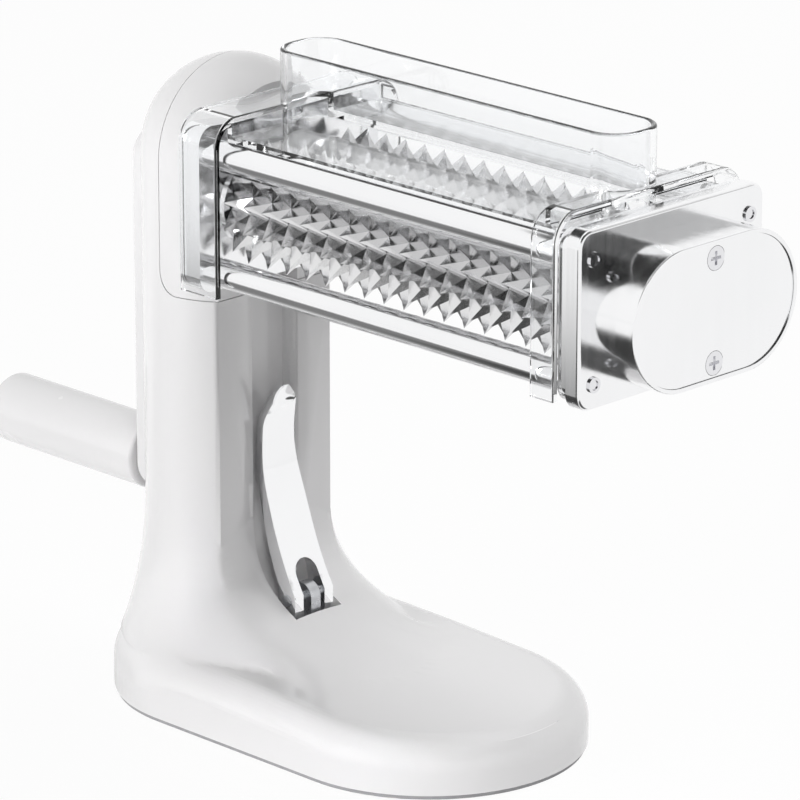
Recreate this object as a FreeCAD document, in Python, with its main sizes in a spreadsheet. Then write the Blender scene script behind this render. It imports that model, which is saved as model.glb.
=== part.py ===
import FreeCAD, Part
import math
import os
import Sketcher

# Hand-cranked meat tenderizer on a suction stand.
# Frame: millimetres, +Z up, +X along the rollers from the crank to the gear housing,
# origin on the table under the middle of the suction cup.

V = FreeCAD.Vector
ROT_X = FreeCAD.Rotation(V(0, 1, 0), 90)
ROT_Y = FreeCAD.Rotation(V(1, 0, 0), -90)
NO_ROT = FreeCAD.Rotation()

doc = FreeCAD.newDocument("tenderizer")
sheet = doc.addObject("Spreadsheet::Sheet", "Sizes")

SIZES = dict(
    shaft_height=180.0,
    # stand
    column_front=-13.0,
    column_half=32.5,
    column_centre=-31.0,
    face_half=26.0,
    dome_rise=10.0,
    seam_plane=-35.0,
    cap_drop=35.4,
    seam_gap=0.3,
    shell=3.0,
    channel_half=10.75,
    channel_floor=-20.5,
    channel_drop=20.0,
    channel_bend=20.0,
    channel_foot=24.0,
    pocket_front=8.0,
    pocket_height=40.0,
    base_half=54.0,
    base_back_centre=-16.6,
    base_front_centre=61.0,
    base_height=23.0,
    base_round=11.0,
    base_slope_drop=4.0,
    base_slope_start=10.0,
    flare_low=20.5,
    flare_high=82.0,
    flare_forward=62.0,
    flare_bulge=14.0,
    flare_top_bulge=0.3,
    flare_sunk=0.05,
    flare_side_inset=4.5,
    flare_back_inset=1.5,
    foot_height=1.5,
    foot_width=6.2,
    cavity_top=17.0,
    guide_radius=7.0,
    guide_low=14.5,
    guide_height=10.0,
    rear_boss_radius=12.0,
    rear_boss_back=-63.9,
    rear_boss_front=-46.0,
    socket_radius=19.0,
    sleeve_radius=16.0,
    knob_x=-26.0,
    knob_radius=9.0,
    knob_stem_radius=3.0,
    knob_thickness=10.5,
    # crank
    crank_shaft_radius=6.0,
    running_gap=0.05,
    fixed_gap=0.02,
    arm_front=-64.9,
    arm_thickness=8.0,
    arm_half=11.0,
    crank_radius=110.0,
    grip_radius=12.5,
    grip_length=74.5,
    grip_rim=1.5,
    grip_pin_radius=4.0,
    washer_thickness=0.8,
    # roller cassette
    roller_spread=34.0,
    tip_radius=21.0,
    core_radius=12.4,
    spike_pitch=9.15,
    spikes_round=14,
    rings_front=17,
    rings_back=16,
    rings_start=-2.575,
    journal_radius=4.5,
    gear_seat_radius=4.0,
    bush_radius=7.0,
    plate_half=42.8,
    plate_drop=28.7,
    plate_rise=30.3,
    plate_corner=5.5,
    plate_rim=1.2,
    ledge_step=1.2,
    hub_plate_start=-13.0,
    hub_plate_end=-10.0,
    case_end=-4.0,
    case_floor=2.0,
    ledge_start=159.0,
    end_plate_start=163.4,
    end_plate_end=169.0,
    bar_radius=5.0,
    bar_y=36.0,
    bar_z=20.4,
    post_radius=13.0,
    post_back=-38.0,
    post_bore=9.0,
    bush_ring=5.4,
    fastener_radius=2.05,
    # gears
    small_module=1.0,
    pinion_teeth=14,
    roller_gear_teeth=20,
    small_face=3.4,
    large_module=2.0,
    large_teeth=17,
    large_face=8.0,
    backlash=0.12,
    # gear housing
    housing_half=38.5,
    housing_radius=23.5,
    housing_end=187.8,
    housing_wall=1.5,
    cap_inset=0.5,
    housing_rim=0.4,
    cap_thickness=2.5,
    screw_spread=17.26,
    # hopper cover
    cover_half=43.8,
    cover_wall=2.0,
    cover_rim=0.8,
    cover_rise=34.0,
    cover_drop=27.0,
    cover_corner=10.0,
    hub_saddle=9.0,
    gear_saddle=10.5,
    lid_rise=25.5,
    lid_thickness=2.2,
    lid_half=36.0,
    chute_start=-2.6,
    chute_end=156.0,
    chute_half=12.85,
    chute_rise=52.4,
    chute_corner=11.0,
    # suction lever
    pin_x=1.5,
    pin_height=37.0,
    lever_pin_radius=2.0,
    lever_half=9.05,
    lever_sheet=1.9,
    notch_half=5.0,
    notch_top=13.0,
    stem_radius=3.4,
    link_half=2.2,
    link_reach=5.0,
    stem_foot_radius=9.0,
    cup_margin=10.0,
    cup_height=6.0,
    cup_plate_radius=22.0,
    cup_plate_thickness=2.0,
)

DERIVED = dict(
    flare_out="base_half - column_half - flare_side_inset",
    flare_back="base_half - base_back_centre + column_centre - column_half - flare_back_inset",
    dome_height="shaft_height + dome_rise",
    cap_low="shaft_height - cap_drop",
    channel_top="shaft_height - channel_drop",
    plate_low="shaft_height - plate_drop",
    plate_high="shaft_height + plate_rise",
    ledge_half="plate_half - ledge_step",
    ledge_low="plate_low + ledge_step",
    ledge_high="plate_high - ledge_step",
    cover_top="shaft_height + cover_rise",
    cover_low="shaft_height - cover_drop",
    lid_low="shaft_height + lid_rise",
    chute_top="shaft_height + chute_rise",
    sleeve_back="post_back - 2",
    sleeve_front="hub_plate_start - 0.2",
    bush_ring_start="ledge_start - bush_ring",
    large_start="end_plate_end + 1",
    clip_start="large_start + large_face + 0.1",
    arm_back="arm_front - arm_thickness",
    grip_height="shaft_height - crank_radius",
    grip_start="arm_back - washer_thickness - 0.1",
    grip_end="grip_start - grip_length",
    cup_radius="base_half - cup_margin",
    cup_top="cup_height + cup_plate_thickness",
    lever_foot="pin_height - 6.5",
)

TABLE = dict(SIZES)
TABLE.update(DERIVED)
for row, (name, entry) in enumerate(TABLE.items(), start=1):
    sheet.set("A%d" % row, name)
    sheet.setAlias("B%d" % row, name)
    sheet.set("B%d" % row, "=" + entry if isinstance(entry, str) else str(entry))
doc.recompute()


def size(name):
    return float(sheet.get(name))


parts = []


def keep(obj, label):
    obj.Label = label
    parts.append(obj)
    return obj


def bind(obj, prop, text):
    """Bind a property to an expression over sheet names, or set a number."""
    if isinstance(text, (int, float)):
        setattr(obj, prop, text)
        return
    words = []
    for word in text.split():
        words.append("Sizes." + word if word in TABLE else word)
    obj.setExpression(prop, " ".join(words))


def place(obj, x, y, z, rotation=NO_ROT):
    obj.Placement = FreeCAD.Placement(V(0, 0, 0), rotation)
    for axis, text in zip("xyz", (x, y, z)):
        if isinstance(text, (int, float)):
            text = "%r" % float(text)
        bind(obj, "Placement.Base." + axis, text + " + 0")


def cylinder(name, radius, start, end, y, z, axis="x"):
    """A cylinder from start to end along x, y or z."""
    obj = doc.addObject("Part::Cylinder", name)
    bind(obj, "Radius", radius)
    text_start = start if isinstance(start, str) else "%r" % float(start)
    text_end = end if isinstance(end, str) else "%r" % float(end)
    bind(obj, "Height", "( " + text_end + " ) - ( " + text_start + " )")
    if axis == "x":
        place(obj, start, y, z, ROT_X)
    elif axis == "y":
        place(obj, y, start, z, ROT_Y)
    else:
        place(obj, y, z, start)
    return obj


def box(name, x0, x1, y0, y1, z0, z1):
    obj = doc.addObject("Part::Box", name)
    for prop, low, high in (("Length", x0, x1), ("Width", y0, y1), ("Height", z0, z1)):
        text_low = low if isinstance(low, str) else "%r" % float(low)
        text_high = high if isinstance(high, str) else "%r" % float(high)
        bind(obj, prop, "( " + text_high + " ) - ( " + text_low + " )")
    place(obj, x0, y0, z0)
    return obj


def fuse(name, shapes):
    obj = doc.addObject("Part::MultiFuse", name)
    obj.Shapes = shapes
    obj.Refine = True
    return obj


def cut(name, base, tools):
    obj = doc.addObject("Part::Cut", name)
    obj.Base = base
    obj.Tool = tools[0] if len(tools) == 1 else fuse(name + "_tools", tools)
    obj.Refine = True
    return obj


def made(name, shape):
    """A feature whose shape comes straight from Part functions."""
    obj = doc.addObject("Part::Feature", name)
    obj.Shape = shape
    return obj


def plate(name, half, low, high, corner, start, end, rim=None):
    """A PartDesign plate: a rounded rectangle in the YZ plane padded along +X, its far rim eased."""
    body = doc.addObject("PartDesign::Body", name)
    origin = [f for f in body.Origin.OriginFeatures if f.Role == "YZ_Plane"][0]
    sketch = body.newObject("Sketcher::SketchObject", name + "_sketch")
    sketch.AttachmentSupport = [(origin, "")]
    sketch.MapMode = "FlatFace"
    w = size(half)
    lo = size(low)
    hi = size(high)
    r = size(corner)
    corners = ((w - r, lo + r, 270), (w - r, hi - r, 0), (r - w, hi - r, 90), (r - w, lo + r, 180))
    lines = (
        ((r - w, lo), (w - r, lo)),
        ((w, lo + r), (w, hi - r)),
        ((w - r, hi), (r - w, hi)),
        ((-w, hi - r), (-w, lo + r)),
    )
    for (start_pt, end_pt), (cy, cz, angle) in zip(lines, corners):
        sketch.addGeometry(Part.LineSegment(V(*start_pt, 0), V(*end_pt, 0)), False)
        circle = Part.Circle(V(cy, cz, 0), V(0, 0, 1), r)
        arc = Part.ArcOfCircle(circle, math.radians(angle), math.radians(angle + 90))
        sketch.addGeometry(arc, False)
    for i in range(0, 8, 2):
        sketch.addConstraint(Sketcher.Constraint("Tangent", i, 2, i + 1, 1))
        sketch.addConstraint(Sketcher.Constraint("Tangent", i + 1, 2, (i + 2) % 8, 1))
    for i in (3, 5, 7):
        sketch.addConstraint(Sketcher.Constraint("Equal", 1, i))
    sketch.addConstraint(Sketcher.Constraint("Horizontal", 0))
    sketch.addConstraint(Sketcher.Constraint("Vertical", 2))
    sketch.addConstraint(Sketcher.Constraint("Horizontal", 4))
    sketch.addConstraint(Sketcher.Constraint("Vertical", 6))
    driven = (
        (Sketcher.Constraint("DistanceX", -1, 1, 2, 1, w), half),
        (Sketcher.Constraint("DistanceX", 6, 1, -1, 1, w), half),
        (Sketcher.Constraint("DistanceY", -1, 1, 0, 1, lo), low),
        (Sketcher.Constraint("DistanceY", -1, 1, 4, 1, hi), high),
        (Sketcher.Constraint("Radius", 1, r), corner),
    )
    for constraint, text in driven:
        index = sketch.addConstraint(constraint)
        bind(sketch, "Constraints[%d]" % index, text)
    pad = body.newObject("PartDesign::Pad", name + "_pad")
    pad.Profile = sketch
    bind(pad, "Length", "( " + end + " ) - ( " + start + " )")
    body.Tip = pad
    if rim:
        doc.recompute()
        far = max(range(len(pad.Shape.Faces)), key=lambda i: pad.Shape.Faces[i].CenterOfMass.x)
        ease = body.newObject("PartDesign::Fillet", name + "_rim")
        ease.Base = (pad, ["Face%d" % (far + 1)])
        bind(ease, "Radius", rim)
        body.Tip = ease
    place(body, start, 0, 0)
    return body


roller_y = size("roller_spread") / 2
shaft_z = size("shaft_height")

# stand


def plan(z, front, half, centre, face, bulge=0.0):
    """Column outline at one height: flat or bulged face, two side arcs, round back."""
    reach = front - centre
    drop = half - face
    big = (reach * reach + drop * drop) / (2 * drop)
    turn = math.asin(reach / big) / 2
    mid_x = centre + big * math.sin(turn)
    mid_y = half - big + big * math.cos(turn)
    flat = Part.LineSegment(V(front, -face, z), V(front, face, z))
    edges = [
        Part.Arc(V(front, -face, z), V(front + bulge, 0, z), V(front, face, z)) if bulge else flat,
        Part.Arc(V(front, face, z), V(mid_x, mid_y, z), V(centre, half, z)),
        Part.Arc(V(centre, half, z), V(centre - half, 0, z), V(centre, -half, z)),
        Part.Arc(V(centre, -half, z), V(mid_x, -mid_y, z), V(front, -face, z)),
    ]
    return Part.Wire([edge.toShape() for edge in edges])


def head_solid(inset):
    """Column with its domed head, shrunk by inset."""
    front = size("column_front") - inset
    half = size("column_half") - inset
    centre = size("column_centre")
    face = size("face_half") - inset * 0.8
    low = size("foot_height") if inset == 0 else -1.0
    top = size("dome_height")
    column = Part.Face(plan(low, front, half, centre, face)).extrude(V(0, 0, top - low))
    edges = plan(top, front, half, centre, face).Edges
    side = Part.Arc(V(centre, half, top), V(centre - half * math.cos(math.pi / 4),
                    half * math.sin(math.pi / 4), top), V(centre - half, 0, top)).toShape()
    closing = [
        Part.LineSegment(V(front, 0, top), V(front, face, top)).toShape(),
        edges[1],
        side,
        Part.LineSegment(V(centre - half, 0, top), V(front, 0, top)).toShape(),
    ]
    profile = Part.Face(Part.Wire(Part.__sortEdges__(closing)))
    dome = profile.revolve(V(0, 0, top), V(1, 0, 0), 360)
    return column.fuse(dome)


def base_outline(z, inset):
    half = size("base_half") - inset
    back = size("base_back_centre")
    front = size("base_front_centre")
    edges = [
        Part.LineSegment(V(back, -half, z), V(front, -half, z)),
        Part.Arc(V(front, -half, z), V(front + half, 0, z), V(front, half, z)),
        Part.LineSegment(V(front, half, z), V(back, half, z)),
        Part.Arc(V(back, half, z), V(back - half, 0, z), V(back, -half, z)),
    ]
    return Part.Wire([edge.toShape() for edge in edges])


def base_solid():
    """Sole of the stand, its top falling a little to the front, edges well rounded."""
    low = size("foot_height")
    high = size("base_height")
    slab = Part.Face(base_outline(low, 0)).extrude(V(0, 0, high - low))
    near = size("base_slope_start")
    far = size("base_front_centre") + size("base_half") + 1
    side = size("base_half") + 1
    drop = high - size("base_slope_drop")
    wedge = Part.makePolygon([
        V(near, -side, high + 1), V(far, -side, high + 1), V(far, -side, drop), V(near, -side, high),
        V(near, -side, high + 1)])
    slab = slab.cut(Part.Face(wedge).extrude(V(0, 2 * side, 0)))
    rim = [e for e in slab.Edges if e.BoundBox.ZMin > low + 1 and not is_slope_start(e)]
    return slab.makeFillet(size("base_round"), rim)


def is_slope_start(edge):
    """True for the straight edge across the top where the slope starts."""
    return edge.BoundBox.XLength < 0.01 and abs(edge.CenterOfMass.y) < 0.01


def flare_solid():
    """Concave sweep from the column down on to the sole, its face rounder towards the foot."""
    sunk = size("flare_sunk")
    low = size("flare_low")
    high = size("flare_high")
    wires = []
    stages = 16
    for stage in range(stages + 1):
        step = (stage / stages) ** 1.3
        left = 1 - step
        bulge = size("flare_top_bulge") + size("flare_bulge") * left ** 4
        front = size("column_front") - sunk + size("flare_forward") * left ** 4.9 - bulge
        out = size("flare_out") * left ** 3
        half = size("column_half") - sunk + out
        rear = size("column_centre") - half + out - size("flare_back") * left ** 2.5
        face = size("face_half") - sunk + out * 0.15
        wires.append(plan(low + (high - low) * step, front, half, rear + half, face, bulge))
    return Part.makeLoft(wires, True, False)


def channel_solid(grow):
    """Room in front of the column for the lever, round at the foot."""
    floor = size("channel_floor") - grow
    top = size("channel_top") + grow
    bend = size("channel_bend") + grow
    foot = size("channel_foot") - grow
    half = size("channel_half") + grow
    centre_x = floor + bend
    centre_z = foot + bend
    mid = V(centre_x - bend * math.cos(math.pi / 4), -half, centre_z - bend * math.sin(math.pi / 4))
    pocket = size("pocket_front") + grow
    rise = size("pocket_height")
    open_front = size("column_front") + size("flare_forward")
    edges = [
        Part.LineSegment(V(floor, -half, top), V(floor, -half, centre_z)),
        Part.Arc(V(floor, -half, centre_z), mid, V(centre_x, -half, foot)),
        Part.LineSegment(V(centre_x, -half, foot), V(pocket, -half, foot)),
        Part.LineSegment(V(pocket, -half, foot), V(pocket, -half, rise)),
        Part.LineSegment(V(pocket, -half, rise), V(open_front, -half, rise)),
        Part.LineSegment(V(open_front, -half, rise), V(open_front, -half, top)),
        Part.LineSegment(V(open_front, -half, top), V(floor, -half, top)),
    ]
    face = Part.Face(Part.Wire([edge.toShape() for edge in edges]))
    return face.extrude(V(0, 2 * half, 0))


def cap_region(gap):
    """Everything in front of the seam and above the cap's lower edge."""
    seam = size("seam_plane") - gap
    low = size("cap_low") - gap
    side = size("column_half") + 5
    block = Part.makeBox(-seam, 2 * side, size("column_half") + size("dome_height"), V(seam, -side, low))
    corner = [e for e in block.Edges if abs(e.BoundBox.XMin - seam) < 0.01
              and abs(e.BoundBox.XMax - seam) < 0.01 and abs(e.BoundBox.ZMax - low) < 0.01]
    return block.makeFillet(8.0, corner)


def tube_x(radius, start, end, y=0.0, z=None):
    z = shaft_z if z is None else z
    return Part.makeCylinder(radius, end - start, V(start, y, z), V(1, 0, 0))


def stand_shapes():
    outer = head_solid(0).fuse([flare_solid(), base_solid()])
    outer = outer.cut(channel_solid(0))
    hollow = head_solid(size("shell"))
    sole_room = Part.Face(base_outline(-1, size("shell") + 1)).extrude(V(0, 0, size("cavity_top") + 1))
    hollow = hollow.fuse(sole_room).cut(channel_solid(size("shell")))
    boss = tube_x(size("rear_boss_radius"), size("rear_boss_back"), size("rear_boss_front"))
    guide = Part.makeCylinder(size("guide_radius"), size("guide_height"), V(0, 0, size("guide_low")))
    stem_hole = Part.makeCylinder(size("stem_radius") + size("running_gap"), size("pin_height"))
    body = outer.cut(cap_region(size("seam_gap")))
    body = body.cut(hollow.cut(guide)).fuse(boss)
    body = body.cut(tube_x(size("post_bore") + size("fixed_gap"), size("rear_boss_back") - 5, -40))
    body = body.cut(stem_hole)
    cap = outer.common(cap_region(0)).cut(hollow)
    socket = tube_x(size("socket_radius"), size("seam_plane"), size("column_front") - 1)
    cap = cap.fuse(socket).cut(tube_x(size("sleeve_radius") + size("fixed_gap"), size("sleeve_back"), 0))
    knob_hole = Part.makeCylinder(size("knob_stem_radius") + 0.1, size("column_half") * 2,
                                  V(size("knob_x"), 0, shaft_z), V(0, 1, 0))
    cap = cap.cut(knob_hole)
    return body.removeSplitter(), cap.removeSplitter()


body_shape, cap_shape = stand_shapes()
keep(made("stand_body", body_shape), "stand_body")
keep(made("head_front_cap", cap_shape), "head_front_cap")


def foot_ring():
    outer = Part.Face(base_outline(0, 0.8)).extrude(V(0, 0, size("foot_height")))
    inner = Part.Face(base_outline(-1, 0.8 + size("foot_width"))).extrude(V(0, 0, size("foot_height") + 2))
    return outer.cut(inner)


keep(made("foot_ring", foot_ring()), "foot_ring")

# hub socket, lock knob and rear bearing

sleeve = cylinder("sleeve_outer", "sleeve_radius", "sleeve_back", "sleeve_front", 0, "shaft_height")
sleeve_bore = cylinder("sleeve_bore", "post_radius + running_gap", "sleeve_back - 1", "sleeve_front + 1", 0,
                       "shaft_height")
sleeve_hole = cylinder("sleeve_hole", "knob_stem_radius + running_gap", 0, "sleeve_radius + 4", "knob_x",
                       "shaft_height", "y")
keep(cut("hub_sleeve", sleeve, [sleeve_bore, sleeve_hole]), "hub_sleeve")

knob_inner = "column_half + 2"
knob_stem = cylinder("knob_stem", "knob_stem_radius", "post_radius + 0.1", "column_half + 7", "knob_x",
                     "shaft_height", "y")
knob_head = cylinder("knob_head", "knob_radius", knob_inner, knob_inner + " + knob_thickness", "knob_x",
                     "shaft_height", "y")
knob_cuts = []
for number in range(8):
    angle = math.radians(45 * number)
    knob_cuts.append(cylinder("knob_flute_%d" % number, "knob_radius / 5", knob_inner + " - 1",
                              knob_inner + " + knob_thickness + 1",
                              "knob_x + ( knob_radius + 0.6 ) * %.6f" % math.cos(angle),
                              "shaft_height + ( knob_radius + 0.6 ) * %.6f" % math.sin(angle), "y"))
keep(cut("lock_knob", fuse("knob_blank", [knob_stem, knob_head]), knob_cuts), "lock_knob")

bush_tube = cylinder("rear_bush_tube", "post_bore", "rear_boss_back", "rear_boss_front", 0, "shaft_height")
bush_flange = cylinder("rear_bush_flange", "post_bore + 2", "rear_boss_back - 0.9", "rear_boss_back", 0,
                       "shaft_height")
bush_bore = cylinder("rear_bush_bore", "crank_shaft_radius + running_gap", "rear_boss_back - 5",
                     "rear_boss_front + 5", 0, "shaft_height")
keep(cut("rear_shaft_bush", fuse("rear_bush_blank", [bush_tube, bush_flange]), [bush_bore]), "rear_shaft_bush")

# crank

shaft_end = "post_back - 2"
tang_end = "post_back + 8"
shaft_round = cylinder("shaft_round", "crank_shaft_radius", "arm_back + 1", shaft_end, 0, "shaft_height")
shaft_tang = box("shaft_tang", shaft_end, tang_end, -3.5, 3.5, "shaft_height - 3.5", "shaft_height + 3.5")
shaft_tap = cylinder("shaft_tap", "crank_shaft_radius / 2 + fixed_gap", "arm_back - 1", "rear_boss_back + 5", 0,
                     "shaft_height")
keep(cut("crank_shaft", fuse("shaft_blank", [shaft_round, shaft_tang]), [shaft_tap]), "crank_shaft")

clip_ring = cylinder("clip_ring", "crank_shaft_radius + 3.5", "rear_boss_front + 0.1", "rear_boss_front + 1.3", 0,
                     "shaft_height")
clip_hole = cylinder("clip_hole", "crank_shaft_radius + fixed_gap", "rear_boss_front - 1", "rear_boss_front + 2",
                     0, "shaft_height")
clip_gap = box("clip_gap", "rear_boss_front - 1", "rear_boss_front + 2", -3, 3, "shaft_height + 4",
               "shaft_height + crank_shaft_radius + 6")
keep(cut("shaft_clip", clip_ring, [clip_hole, clip_gap]), "shaft_clip")


def crank_arm():
    front = size("arm_front")
    start = size("arm_back")
    half = size("arm_half")
    low = size("grip_height")
    top = tube_x(half, start, front)
    end = tube_x(half, start, front, 0, low)
    web = Part.makeBox(front - start, 2 * half, shaft_z - low, V(start, -half, low))
    arm = web.fuse([top, end]).removeSplitter()
    rims = [e for e in arm.Edges if e.BoundBox.XLength < 0.01]
    arm = arm.makeFillet(2.5, rims)
    arm = arm.cut(tube_x(size("crank_shaft_radius") + size("fixed_gap"), start + 1, front + 1))
    arm = arm.cut(tube_x(size("crank_shaft_radius") / 2 + 0.1, start - 1, front))
    return arm.cut(tube_x(size("grip_pin_radius") + size("fixed_gap"), start - 1, front + 1, 0, low))


keep(made("crank_arm", crank_arm()), "crank_arm")

screw_head = cylinder("arm_screw_head", "crank_shaft_radius - 0.5", "arm_back - 3", "arm_back", 0, "shaft_height")
screw_shank = cylinder("arm_screw_shank", "crank_shaft_radius / 2", "arm_back", "rear_boss_back + 4.9", 0,
                       "shaft_height")
screw_hex = doc.addObject("Part::Prism", "arm_screw_hex")
screw_hex.Polygon = 6
screw_hex.Circumradius = 2.6
screw_hex.Height = 2.0
place(screw_hex, "arm_back - 3.2", 0, "shaft_height", ROT_X)
keep(cut("arm_screw", fuse("arm_screw_blank", [screw_head, screw_shank]), [screw_hex]), "arm_screw")

washer_disc = cylinder("washer_disc", "grip_pin_radius * 2", "arm_back - washer_thickness", "arm_back", 0,
                       "grip_height")
washer_hole = cylinder("washer_hole", "grip_pin_radius + running_gap", "grip_start", "arm_front", 0,
                       "grip_height")
keep(cut("grip_washer", washer_disc, [washer_hole]), "grip_washer")
keep(cylinder("grip_pin", "grip_pin_radius", "grip_end + 6", "arm_front", 0, "grip_height"), "grip_pin")
grip_bar = cylinder("grip_bar", "grip_radius", "grip_end", "grip_start", 0, "grip_height")
doc.recompute()
grip_round = doc.addObject("Part::Fillet", "grip_round")
grip_round.Base = grip_bar
circles = [i for i, e in enumerate(grip_bar.Shape.Edges, start=1) if e.BoundBox.XLength < 0.01]
grip_round.Edges = [(i, size("grip_rim"), size("grip_rim")) for i in circles]
grip_bore = cylinder("grip_bore", "grip_pin_radius + running_gap", "grip_end + 5", "arm_front", 0, "grip_height")
keep(cut("crank_grip", grip_round, [grip_bore]), "crank_grip")


# gears


def involute_gear(module, teeth, start, face, y, bore, phase):
    """Spur gear with 20 degree involute flanks, its axis along X."""
    pressure = math.radians(20)
    pitch = module * teeth / 2
    base = pitch * math.cos(pressure)
    tip = pitch + module
    root = pitch - 1.25 * module
    half_tooth = (math.pi * module / 2 - size("backlash")) / 2 / pitch
    involute = math.tan(pressure) - pressure
    steps = 5

    def flank_angle(radius):
        alpha = math.acos(min(1.0, base / radius))
        return half_tooth + involute - (math.tan(alpha) - alpha)

    first = max(base, root)
    radii = [first + (tip - first) * i / (steps - 1) for i in range(steps)]
    points = []
    for tooth in range(teeth):
        middle = phase + 2 * math.pi * tooth / teeth
        rising = [(root, -flank_angle(first))] + [(r, -flank_angle(r)) for r in radii]
        falling = [(r, flank_angle(r)) for r in reversed(radii)] + [(root, flank_angle(first))]
        for radius, angle in rising + falling:
            points.append(V(start, y + radius * math.cos(middle + angle),
                            shaft_z + radius * math.sin(middle + angle)))
    points.append(points[0])
    clean = [points[0]]
    for point in points[1:]:
        if (point - clean[-1]).Length > 1e-4:
            clean.append(point)
    gear = Part.Face(Part.makePolygon(clean)).extrude(V(face, 0, 0))
    return gear.cut(tube_x(bore, start - 1, start + face + 1, y))


small_start = size("hub_plate_end") + 0.3
small_end = small_start + size("small_face")


def input_pinion():
    blank = involute_gear(size("small_module"), int(size("pinion_teeth")), small_start,
                          size("small_face"), 0, 2.0, 0)
    cup_end = size("post_back") + 9.5
    cup = tube_x(size("post_bore") - 0.5, size("post_back") + 0.5, cup_end)
    stem = tube_x(5.0, cup_end, small_start)
    nose = tube_x(2.9, small_start, size("case_end") - 0.6)
    pinion = blank.fuse([cup, stem, nose])
    socket = Part.makeBox(9.0, 7.2, 7.2, V(size("post_back"), -3.6, shaft_z - 3.6))
    return pinion.cut(socket).removeSplitter()


keep(made("input_pinion", input_pinion()), "input_pinion")
seat = size("gear_seat_radius") + size("fixed_gap")
keep(made("roller_gear", involute_gear(size("small_module"), int(size("roller_gear_teeth")), small_start,
                                       size("small_face"), roller_y, seat,
                                       math.pi / size("roller_gear_teeth"))), "roller_gear")
large_start = size("large_start")
for label, y in (("drive_gear", roller_y), ("driven_gear", -roller_y)):
    keep(made(label, involute_gear(size("large_module"), int(size("large_teeth")), large_start,
                                   size("large_face"), y, seat, 0)), label)


# spiked rollers


def spiked_core(rings, start, y):
    """One closed skin of four-sided spikes, ring after ring."""
    count = int(size("spikes_round"))
    pitch = size("spike_pitch")
    core = size("core_radius")
    tip = size("tip_radius")
    step = 2 * math.pi / count

    def point(x, radius, index):
        angle = step * index
        return V(x, y + radius * math.cos(angle), shaft_z + radius * math.sin(angle))

    faces = []
    for ring in range(rings):
        left = start + pitch * ring
        right = left + pitch
        for k in range(count):
            a = point(left, core, k)
            b = point(right, core, k)
            c = point(right, core, k + 1)
            d = point(left, core, k + 1)
            apex = point((left + right) / 2, tip, k + 0.5)
            for one, two in ((a, b), (b, c), (c, d), (d, a)):
                faces.append(Part.Face(Part.makePolygon([one, two, apex, one])))
    for x in (start, start + pitch * rings):
        ring_points = [point(x, core, k) for k in range(count + 1)]
        faces.append(Part.Face(Part.makePolygon(ring_points)))
    return Part.Solid(Part.Shell(faces))


def roller(rings, start, y, left_end):
    inner = size("case_end") + 1.1
    whole = size("rings_start") + size("spike_pitch") * size("rings_front")
    shape = spiked_core(rings, start, y)
    if shape.Volume < 0:
        shape.reverse()
    shoulder = size("core_radius") * math.cos(math.pi / size("spikes_round"))
    additions = [
        tube_x(size("journal_radius"), -6.1, size("end_plate_end") + 0.2, y),
        tube_x(size("gear_seat_radius"), left_end, large_start + size("large_face") + 1.6, y),
    ]
    end = start + size("spike_pitch") * rings
    if start > size("rings_start") + 0.1:
        additions.append(tube_x(shoulder, size("rings_start"), start, y))
        additions.append(tube_x(shoulder, end, whole, y))
    return shape.fuse(additions)


keep(made("drive_roller", roller(int(size("rings_back")), size("rings_start") + size("spike_pitch") / 2,
                                 roller_y, small_start)), "drive_roller")
keep(made("driven_roller", roller(int(size("rings_front")), size("rings_start"), -roller_y,
                                  small_start)), "driven_roller")

# cassette frame

hub_plate = plate("hub_plate_blank", "ledge_half", "ledge_low", "ledge_high", "plate_corner",
                  "hub_plate_start", "hub_plate_end")
hub_post = cylinder("hub_post", "post_radius", "post_back", "hub_plate_start + 0.5", 0, "shaft_height")
hub_bore = cylinder("hub_bore", "post_bore + fixed_gap", "post_back - 1", 0, 0, "shaft_height")
hub_holes = []
for sy in (-1, 1):
    for sz in (-1, 1):
        hub_holes.append(cylinder("hub_hole", "fastener_radius + running_gap", "hub_plate_start - 1", 0,
                                  "%d * bar_y" % sy, "shaft_height + %d * bar_z" % sz))
        hub_holes.append(cylinder("hub_sink", "fastener_radius * 2", "hub_plate_start - 1",
                                  "hub_plate_end - 0.9", "%d * bar_y" % sy, "shaft_height + %d * bar_z" % sz))
keep(cut("hub_end_plate", fuse("hub_plate_solid", [hub_plate, hub_post]), [hub_bore] + hub_holes),
     "hub_end_plate")

input_tube = cylinder("input_bush_tube", "post_bore", "post_back + 10.1", "hub_plate_end", 0, "shaft_height")
input_bore = cylinder("input_bush_bore", 5.05, "post_back", 0, 0, "shaft_height")
keep(cut("input_bush", input_tube, [input_bore]), "input_bush")

case_plate = plate("case_blank", "ledge_half", "ledge_low", "ledge_high", "plate_corner",
                   "hub_plate_end", "case_end")
case_rings = [cylinder("case_ring", "roller_spread / 2 - 1.5", "case_end - 0.5", "case_end + 1.1",
                       "%d * roller_spread / 2" % s, "shaft_height") for s in (-1, 1)]
case_tools = [
    cylinder("case_pinion_room", "small_module * ( pinion_teeth / 2 + 1.9 )", "hub_plate_end - 1",
             "case_end - case_floor", 0, "shaft_height"),
    cylinder("case_gear_room", "small_module * ( roller_gear_teeth / 2 + 1.9 )", "hub_plate_end - 1",
             "case_end - case_floor", "roller_spread / 2", "shaft_height"),
    cylinder("case_journal_room", "journal_radius + 1", "hub_plate_end + 0.1", "case_end - case_floor",
             "-1 * roller_spread / 2", "shaft_height"),
    cylinder("case_nose_hole", 3.0, "hub_plate_end + 1", "case_end - 0.5", 0, "shaft_height"),
]
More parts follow.
